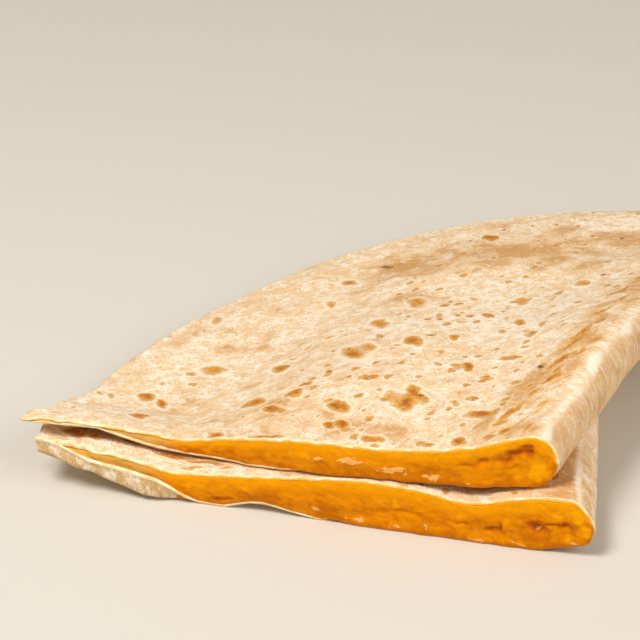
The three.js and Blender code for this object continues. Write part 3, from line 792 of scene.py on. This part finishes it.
def foldZone(half, turn, along, back, onTop):  # creases beside the fold, its side and its crest, whose white is partly flour and partly painted highlight
    creaseEnd = half["creaseEnd"] + half["creaseSpread"] * bell(back / foldLooks["creaseSpreadReach"])
    comingIn = ease((along - foldLooks["creaseStart"]) / foldLooks["creaseIn"])
    crease = comingIn * (1 - ease((along - creaseEnd) / foldLooks["creaseOut"])) * onTop
    side = 1 - ease((turn - foldLooks["sideTurn"]) / foldLooks["sideFade"])
    wander = scaled(lumps, foldLooks["crestWander"], back, 0 * back, half["seed"] + 50)
    change = scaled(lumps, foldLooks["crestChange"], back, 0 * back, half["seed"] + 51)
    crest = bell((turn - (foldLooks["crestTurn"] + wander)) / foldLooks["crestWidth"])
    crest = crest * (foldLooks["crestMean"] + change)
    return {
        "crease": crease * half["creaseStrength"], "side": side * half["sideShare"],
        "crest": crest * half["crestFlourAndHighlight"]}


def patternPlaces(half, unrolled, back):  # where the patterns of the materials are looked up
    shift = 0 * back + half["seed"] * patternShift["half"]
    streakAcross = unrolled - half["streakLean"] * back
    lineAcross = foldLooks["lineStretch"] * (back - foldLooks["lineLean"] * unrolled)
    return {
        "skin": np.stack([unrolled, back, shift], axis=-1),
        "streak": np.stack([streakAcross, foldLooks["streakSqueeze"] * back, shift], axis=-1),
        "around": np.stack([foldLooks["lineSqueeze"] * unrolled, lineAcross, shift], axis=-1)}


def sectionsOf(half):  # distances of the rows of points from the cut
    share = np.linspace(0, 1, half["sections"])
    spread = mix(share, (1 - np.cos(math.pi * share)) / 2, tortilla["sectionCrowding"])
    evenBacks = mix(tortilla["sectionStart"], half["lastBack"], spread)
    return np.concatenate([tortilla["firstSections"], evenBacks])


def soaking(half, along, turn):  # how much cheese has soaked into the cut edge
    below = turn < 0
    dryingBelow = along - half["lipEnd"] + tortilla["soakBefore"]
    dryingAbove = tortilla["upperSoakStretch"] * (along - frontWrap["start"])
    drying = ease(np.where(below, dryingBelow, dryingAbove) / tortilla["soakFade"])
    return 1 - drying * np.where(below, 1, tortilla["upperDrying"])


def tortillaPiece(name, half, marks, materials):
    parts = MeshParts([
        "skin", "streak", "around", "toast", "char", "crease", "side", "crest", "tannedAndShaded", "floury",
        "freckled", "wrapped", "soak"])
    backs = sectionsOf(half)
    turn, beyond, unrolled = stations(half, backs, half["sheetSteps"])
    back = backs[:, None] + 0 * beyond
    along = surfaceAlong(half, turn, beyond)
    onTop = ease(turn / foldLooks["topTurn"])
    places = patternPlaces(half, unrolled, back)
    looks = {**marksOnTop(half, marks, along, back, onTop), **foldZone(half, turn, along, back, onTop)}
    wrapped = -half["wrap"](along, back)[0] * (turn < 0) / frontWrap["out"]
    relief = sheetRelief(half, along, back, unrolled, turn, looks["toast"], looks["crease"])

    # both faces; where the sheet curls up, the inner one keeps its distance squarely from the outer
    recess, thickness = stack["edgeRecess"], sheetDepth(half, along, back)
    outer = skinPoints(half, 0 * thickness, turn, beyond, back, recess)
    normals = normalsOf(outer)
    curled = ease(2 * wrapped)[..., None]
    squarely = outer - normals * thickness[..., None]
    inner = mix(skinPoints(half, thickness, turn, beyond, back, recess), squarely, curled)
    edge, beyondEdge = outer[:1], outer[:1] - outer[1:2]
    beyondEdge = beyondEdge / np.linalg.norm(beyondEdge, axis=-1, keepdims=True)
    outer = outer + normals * relief[..., None]
    outer[..., 2] = np.maximum(outer[..., 2], 0)
    outerNumbers = parts.add(outer, wrapped=wrapped, **places, **looks)
    innerNumbers = parts.add(inner, skin=places["skin"] + (0, 0, patternShift["inside"]))
    parts.grid(outerNumbers)
    parts.grid(innerNumbers[::-1], 1)

    # the cut edge of the sheet, a little rounded
    rows = [outerNumbers[0]]
    for depth, edgeBack in tortilla["edgeRows"]:
        rowBack = 0 * back[:1] + edgeBack
        points = skinPoints(half, thickness[:1] * depth, turn[:1], beyond[:1], rowBack, recess)
        curledPoints = edge - normals[:1] * thickness[:1, :, None] * depth
        curledPoints = curledPoints + beyondEdge * (backs[0] - edgeBack)
        points = mix(points, curledPoints, curled[:1])
        points = points + normals[:1] * relief[:1, :, None] * (1 - depth)
        points[..., 2] = np.maximum(points[..., 2], 0)
        edgeSkin = places["skin"][:1] + (0, -depth, patternShift["edge"])
        rows.append(parts.add(points, skin=edgeSkin, soak=depth * soaking(half, along[:1], turn[:1]))[0])
    rows.append(innerNumbers[0])
    parts.grid(np.array(rows)[::-1], 1)

    # the rim above and below, and the far end
    for column, outwards in [(-1, 1), (0, -1)]:
        middle = (outer[:, column] + inner[:, column]) / 2
        away = middle[:, :2] - (np.array(half["rimCentre"]) - stack["centre"])
        middle[:, :2] += tortilla["rimRounding"] * away / np.linalg.norm(away, axis=1, keepdims=True)
        rimSkin = places["skin"][None, :, column] + (0, 0, patternShift["edge"])
        middleNumbers = parts.add(middle[None], skin=rimSkin)[0]
        band = np.array([outerNumbers[:, column], middleNumbers, innerNumbers[:, column]])
        parts.grid(band[::-outwards], 1)
        parts.face([row[column] for row in rows][::-outwards] + [middleNumbers[0]], 1)
        parts.face([outerNumbers[-1, column], middleNumbers[-1], innerNumbers[-1, column]][::outwards], 1)
    parts.grid(np.array([outerNumbers[-1], innerNumbers[-1]]), 1)
    return parts.piece(name, materials)


cheese = {
    "colours": {
        # hollow: the painted shade of the hollows
        "light": (253, 170, 0), "main": (230, 140, 0), "deep": (204, 114, 0), "hollow": (186, 88, 0),
        # glint: painted highlight on the raised lumps
        "glint": (255, 186, 104),
        "film": (224, 176, 84),  # near the tips, where it is thin
    },
    "limits": {
        # upperEdgeGlow: the painted light along the upper sheet
        "deep": (0.42, 0.68), "upperEdgeGlow": (0.66, 1), "lowerEdge": (0.12, 0), "bright": (0.2, 0.9),
        "hollow": (0.15, 0.85), "glint": (0.76, 0.92), "film": (0.1, 0.9), "wet": (0.3, 0.8),
    },
    "cover": {"upperEdgeGlow": 0.7, "lowerEdge": 0.3, "bright": 0.85, "hollow": 0.95, "glint": 0.85, "film": 0.9},
    "patterns": {"cloud": (0.16, 3, 0.6), "curd": (0.7, 3, 0.6), "chips": (0.95, 2, 0.5)},
    "cloudWarp": (0.3, 2), "chipStretch": (0.8, 1.2, 1),
    "roughness": 0.4, "cloudRoughness": 0.1, "reflection": 0.04, "reliefDepth": 0.45,
    "wetness": 0.03, "glintWetness": 0.25, "hollowWetness": 0.15, "coatRoughness": 0.18,
    "lightShare": 0.05, "lightReach": (1, 0.6, 0.05), "lightScale": 0.002,  # of the light inside it
    "proud": 0.5, "lumpSize": 0.2,  # how far the cheese bulges out of the cut, and its lumps on top of that
    "lumps": (1, 3.1, 2.6), "fineLumps": (0.7, 1.2, 1.1),  # height, size along and size upwards
    "fineLumpsBelow": 1.3,
    "fullBetween": 3,            # distance of the sheets from which the cut face has its full relief
    "lip": 0.95, "lipTurn": 0.9,  # how far it hangs over the sheet below
    "lipBulge": 0.3, "lipBulgeLevel": 0.12, "lipTuck": 0.5, "lipTuckLevel": 0.05,  # its round lower edge
    "glintProud": 0.15, "upperEdgeProud": 0.5,
    "wander": (1.2, 2.4, 1.8), "fineWander": (0.5, 0.9, 0.9), "levelWander": (0.05, 1.6, 1.4),  # of spots
    "spotEdge": 0.7, "shadeSpread": 1.7, "shadeFade": 1.5,  # shade: the painted shade in and round the hollows, spread wider and drawn fainter
    "filmWidth": 18,
    "floorGap": 0.05, "overlap": 0.05,  # above the floor, and into the sheets
    "ringBacks": (0, 0.4, 0.9, 1.5, 2.2, 3, 4, 5, 6.2), "innerStart": 8, "innerRings": 14,
    "endShare": 0.93, "rimShare": 0.985,  # of the way to the far end and to the rim
    "faceRows": 30,
    "steps": (250, 14, 250),     # below, to the middle of the fold, and above
}

# hollows in the cut faces: distance from the fold, height share, half length, half height share, depth
upperHollows = [
    (7.6, 0.76, 2.2, 0.08, 1.4), (10.4, 0.72, 2.6, 0.09, 1.2), (12.4, 0.63, 1.3, 0.09, 0.9),
    (17.2, 0.66, 2, 0.09, 0.8), (22, 0.6, 2.2, 0.06, 0.5), (11, 0.45, 2, 0.05, 0.4),
]
lowerHollows = [
    (14.4, 0.47, 1.9, 0.12, 1.3), (8.4, 0.47, 2.2, 0.08, 1.1), (10.8, 0.5, 1.6, 0.05, 0.8),
    (23.4, 0.47, 1.1, 0.12, 1.2), (24.8, 0.42, 1.1, 0.09, 1), (33, 0.5, 3.4, 0.06, 0.5),
    (46, 0.48, 3, 0.06, 0.4), (51.5, 0.43, 3.2, 0.06, 0.4), (90.5, 0.2, 2.6, 0.09, 0.8),
    (18, 0.66, 2.2, 0.05, 0.5),
]
# brighter yellow places in the same way, with a strength in place of a depth
upperBrights = [
    (4.5, 0.4, 3.4, 0.34, 1), (9, 0.3, 3, 0.2, 0.7), (13.5, 0.42, 1.6, 0.12, 0.5), (60, 0.7, 5, 0.3, 0.6),
    (50, 0.8, 4, 0.2, 0.6), (69, 0.6, 5, 0.3, 0.5), (27, 0.35, 3, 0.2, 0.4),
]
lowerBrights = [
    (4.5, 0.75, 3.4, 0.26, 1), (9.5, 0.72, 3, 0.16, 0.8), (3.6, 0.4, 2.6, 0.26, 0.9),
    (8.2, 0.24, 2.2, 0.16, 0.7), (22.4, 0.55, 1, 0.2, 0.8), (47.5, 0.7, 0.9, 0.3, 0.8),
    (52, 0.72, 4, 0.2, 0.5), (85, 0.7, 8, 0.3, 0.6), (96, 0.6, 6, 0.4, 0.6), (33, 0.75, 4, 0.18, 0.4),
]
# bright pinkish lumps, raised a little and painted pale as highlights
upperGlints = [
    (47, 0.6, 4.2, 0.17, 1), (38.5, 0.4, 4.4, 0.19, 1), (55, 0.56, 5, 0.12, 0.75),
    (28.5, 0.28, 4.2, 0.14, 0.9), (21, 0.17, 1.6, 0.08, 0.8), (34, 0.28, 2.5, 0.08, 0.5),
]
lowerGlints = [
    (41, 0.25, 1.5, 0.1, 0.9), (6.5, 0.12, 2.4, 0.06, 0.8), (14.2, 0.46, 0.8, 0.04, 0.9),
    (30, 0.16, 5, 0.06, 0.7), (58, 0.17, 5, 0.07, 0.75), (67, 0.26, 2.2, 0.12, 0.8),
    (48, 0.14, 3, 0.07, 0.7), (20, 0.12, 4, 0.06, 0.6),
]


def cheeseMaterial():
    recipe = Recipe("melted_cheese")
    colours, limits = paints(cheese["colours"]), cheese["limits"]
    cover, patterns = cheese["cover"], cheese["patterns"]
    skin = recipe.attribute("skin", "Vector")
    hollow, level = recipe.attribute("hollow"), recipe.attribute("level")
    cloud = recipe.noise(recipe.warp(skin, *cheese["cloudWarp"]), *patterns["cloud"])
    curd = recipe.noise(skin, *patterns["curd"])
    deepShare = recipe.between(cloud + (curd - 0.5) * 0.35 + (0.5 - level) * 0.24, *limits["deep"])
    colour = recipe.blend(deepShare, colours["main"], colours["deep"])

    # lighter along the sheets, along the upper one as painted light, and in the bright places; darker in the
    # hollows as painted shade
    # painted light along the upper sheet
    upperEdgeGlow = recipe.between(level + (cloud - 0.5) * 0.5, *limits["upperEdgeGlow"]) * cover["upperEdgeGlow"]
    edge = upperEdgeGlow + recipe.between(level, *limits["lowerEdge"]) * cover["lowerEdge"]
    brightShare = recipe.between(recipe.attribute("bright") + (curd - 0.5) * 1.2, *limits["bright"])
    colour = recipe.blend(recipe.larger(edge, brightShare * cover["bright"]), colour, colours["light"])
    # painted shade in the hollows, reddish brown
    hollowShadeShare = recipe.between(hollow + (curd - 0.5) * 0.6, *limits["hollow"])
    colour = recipe.blend(hollowShadeShare * cover["hollow"], colour, colours["hollow"])

    # painted highlights on the glints: pale pinkish chips
    chips = recipe.noise(recipe.stretch(skin, cheese["chipStretch"]), *patterns["chips"])
    glintShare = recipe.between(recipe.attribute("glint") * 0.62 + chips, *limits["glint"])
    colour = recipe.blend(glintShare * cover["glint"], colour, colours["glint"])
    filmShare = recipe.between(recipe.attribute("film") + (cloud - 0.5) * 0.6, *limits["film"])
    colour = recipe.blend(filmShare * cover["film"], colour, colours["film"])

    height = curd * 0.7 + chips * 0.15 + glintShare * 0.2
    wet = glintShare * cheese["glintWetness"]
    wet = wet + recipe.between(hollow, *limits["wet"]) * cheese["hollowWetness"]
    return recipe.finish(
        colour, cheese["roughness"] + cloud * cheese["cloudRoughness"], height, cheese["reliefDepth"],
        **{"Specular IOR Level": cheese["reflection"], "Coat Weight": wet + cheese["wetness"],
           "Coat Roughness": cheese["coatRoughness"], "Subsurface Weight": cheese["lightShare"],
           "Subsurface Radius": cheese["lightReach"], "Subsurface Scale": cheese["lightScale"]})


def shareField(spots, along, level, spread=1):  # as markField, on a cut face
    field = np.zeros(along.shape)
    for spotAlong, spotLevel, halfLength, halfShare, strength in spots:
        far = np.hypot((along - spotAlong) / halfLength, (level - spotLevel) / halfShare)
        field = np.maximum(field, strength * (1 - ease(far * cheese["spotEdge"] / spread)))
    return field


def strayed(half, along, level, height):  # places on the cut face, pushed about a little
    wander = scaled(lumps, cheese["wander"], along, height, half["seed"] + 30)
    wander = wander + scaled(lumps, cheese["fineWander"], along, height, half["seed"] + 31)
    levelWander = scaled(lumps, cheese["levelWander"], along, height, half["seed"] + 32)
    return along + wander, level + levelWander


def standOut(half, along, level, height, lip, thick):  # of the cut face, without its hollows and glints
    bulge = np.maximum(np.sin(math.pi * level) ** 0.5, cheese["upperEdgeProud"] * (level > 0.5))
    lumpy = scaled(roughLumps, cheese["lumps"], along, height, half["seed"] + 34)
    fineLumps = scaled(lumps, cheese["fineLumps"], along, height, half["seed"] + 38)
    lumpy = lumpy + fineLumps * (cheese["fineLumpsBelow"] - level)
    proud = (cheese["proud"] + cheese["lumpSize"] * lumpy) * bulge * thick
    lipLevel = (level - cheese["lipBulgeLevel"]) / cheese["lipBulgeLevel"]
    return proud + cheese["lipBulge"] * lip * bell(lipLevel)


def cheesePiece(name, half, spots, material):
    parts = MeshParts(["skin", "hollow", "level", "bright", "glint", "film"])
    innerEnd = half["lastBack"] * cheese["endShare"]
    innerBacks = np.linspace(cheese["innerStart"], innerEnd, cheese["innerRings"])
    backs = np.concatenate([cheese["ringBacks"], innerBacks])
    turn, beyond, unrolled = stations(half, backs, cheese["steps"])
    beyond = beyond * cheese["rimShare"]
    back = backs[:, None] + 0 * beyond
    ringAlong = surfaceAlong(half, turn, beyond)
    inset = sheetDepth(half, ringAlong, back) - cheese["overlap"]
    ring = skinPoints(half, inset, turn, beyond, back, curl=0)
    ringSkin = np.stack([unrolled, back, 0 * back], axis=-1)
    ringFilm = ease((ringAlong - half["filmStart"]) / cheese["filmWidth"])
    ringNumbers = parts.add(ring, skin=ringSkin, level=0 * back + 0.5, film=ringFilm)
    parts.grid(np.concatenate([ringNumbers, ringNumbers[:, :1]], axis=1))

    # the cut face, from each point below to its partner above
    count = ring.shape[1] // 2 + 1
    lowNumbers, highNumbers = ringNumbers[:, :count], ringNumbers[:, ::-1][:, :count]
    low, high = ring[0, :count], ring[0, ::-1][:count]
    alongs = (half["foldLean"] / 2 + half["foldDepth"] * (1 - np.cos(turn[0])) + beyond[0])[:count]
    level = np.linspace(0, 1, cheese["faceRows"])[:, None]
    lip = lipShare(half, alongs)[None] * ease(np.abs(turn[0, :count]) / cheese["lipTurn"])
    points = low + (high - low) * level[..., None]
    points[..., 2] -= lip * cheese["lip"] * (1 - level)
    along, height = alongs + 0 * level, points[..., 2]
    thick = ease((high[:, 2] - low[:, 2]) / cheese["fullBetween"])
    film = ease((along - half["filmStart"]) / cheese["filmWidth"])
    hollows, brights, glints = spots
    place = strayed(half, along, level, height)
    hollow, glint = shareField(hollows, *place), shareField(glints, *place)
    # painted shade for the hollows, spread wider than their dents
    hollowShade = shareField(hollows, *place, cheese["shadeSpread"]) / cheese["shadeFade"]
    proud = standOut(half, along, level, height, lip, thick)
    proud = proud + cheese["glintProud"] * glint - hollow * thick
    proud = proud - cheese["lipTuck"] * lip * ease(1 - level / cheese["lipTuckLevel"])
    proud = proud - half["filmRecess"] * film
    points[..., :2] -= proud[..., None] * half["backAxis"]
    points[..., 2] = np.maximum(points[..., 2], cheese["floorGap"])
    faceSkin = np.stack([along, height, 0 * along + patternShift["cutFace"]], axis=-1)
    faceNumbers = parts.add(
        points, skin=faceSkin, hollow=hollowShade, level=level + 0 * along, film=film, glint=glint,
        bright=shareField(brights, *place))
    parts.grid(faceNumbers)
    parts.grid(np.array([lowNumbers[0], faceNumbers[0]]))
    parts.grid(np.array([faceNumbers[-1], highNumbers[0]]))
    parts.face([lowNumbers[0, 0], *faceNumbers[:, 0], highNumbers[0, 0]])
    parts.grid(np.array([highNumbers[-1], lowNumbers[-1]]))  # the far end
    return parts.piece(name, [material])


print("making the materials")
tortillaSkins, cheeseMelt = [tortillaMaterial(), doughMaterial()], cheeseMaterial()

print("making the halves")
lowerSpots = (lowerHollows, lowerBrights, lowerGlints)
upperSpots = (upperHollows, upperBrights, upperGlints)
pieces = {
    "tortilla_lower": tortillaPiece("tortillaLower", lowerHalf, lowerMarks, tortillaSkins),
    "tortilla_upper": tortillaPiece("tortillaUpper", upperHalf, upperMarks, tortillaSkins),
    "cheese_lower": cheesePiece("cheeseLower", lowerHalf, lowerSpots, cheeseMelt),
    "cheese_upper": cheesePiece("cheeseUpper", upperHalf, upperSpots, cheeseMelt),
}
for node, piece in pieces.items():
    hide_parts(node)
    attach(piece, "root")

print("making the floor, the lights and the camera")
studio = {
    "floor": (214, 208, 198), "floorReach": 3, "floorRoughness": 0.8, "floorGrain": 300, "floorRelief": 0.02,
    "keyPower": 7.7, "keyPlace": (-0.3, -0.42, 0.85), "keySize": 0.35,
    "fillPower": 3.9, "fillPlace": (0.75, -0.3, 0.5), "fillSize": 0.7,
    "skyStrength": 0.34, "skyColour": (1, 0.97, 0.91, 1),
}

reach = studio["floorReach"]
floorCorners = [(-reach, -reach, 0), (reach, -reach, 0), (reach, reach, 0), (-reach, reach, 0)]
floorMesh = bpy.data.meshes.new("floor")
floorMesh.from_pydata(floorCorners, [], [(0, 1, 2, 3)])
floor = bpy.data.objects.new("floor", floorMesh)
bpy.context.scene.collection.objects.link(floor)
paper = Recipe("floor_paper")
paperGrain = paper.noise(paper.node("TexCoord", output="Object"), studio["floorGrain"])
paperLook = (paint(*studio["floor"]), studio["floorRoughness"], paperGrain, studio["floorRelief"])
floorMesh.materials.append(paper.finish(*paperLook))


def softLight(name, place, size, power):
    light = bpy.data.lights.new(name, "AREA")
    light.size, light.energy = size, power
    light.color = studio["skyColour"][:3]
    lamp = bpy.data.objects.new(name, light)
    lamp.location = place
    lamp.rotation_euler = Vector(place).to_track_quat("Z", "Y").to_euler()
    bpy.context.scene.collection.objects.link(lamp)


softLight("keyLight", studio["keyPlace"], studio["keySize"], studio["keyPower"])
softLight("fillLight", studio["fillPlace"], studio["fillSize"], studio["fillPower"])
sky = bpy.data.worlds.new("sky")
sky.use_nodes = True
sky.node_tree.nodes["Background"].inputs["Color"].default_value = studio["skyColour"]
sky.node_tree.nodes["Background"].inputs["Strength"].default_value = studio["skyStrength"]
bpy.context.scene.world = sky
bpy.context.scene.view_settings.view_transform = "Standard"

# the camera: place in millimetres, angles in degrees, the rest as Blender has them
view = {
    "place": (135.52, -559.03, 330.45), "down": 29, "left": 16, "roll": -1.5, "lens": 146.25,
    "sensor": 36, "nearest": 0.01, "farthest": 10,
}
down, turned, roll = (math.radians(view[label]) for label in ("down", "left", "roll"))
forward = Vector((-math.sin(turned) * math.cos(down), math.cos(turned) * math.cos(down), -math.sin(down)))
sideways = Vector((math.cos(turned), math.sin(turned), 0))
upright = sideways.cross(forward)
right = math.cos(roll) * sideways + math.sin(roll) * upright
up = -math.sin(roll) * sideways + math.cos(roll) * upright
camera = bpy.data.objects.new("camera", bpy.data.cameras.new("camera"))
camera.data.lens, camera.data.sensor_width = view["lens"], view["sensor"]
camera.data.clip_start, camera.data.clip_end = view["nearest"], view["farthest"]
turnedAxes = Matrix((right, up, -forward)).transposed().to_4x4()
camera.matrix_world = Matrix.Translation(Vector(view["place"]) * mm) @ turnedAxes
bpy.context.scene.collection.objects.link(camera)
bpy.context.scene.camera = camera
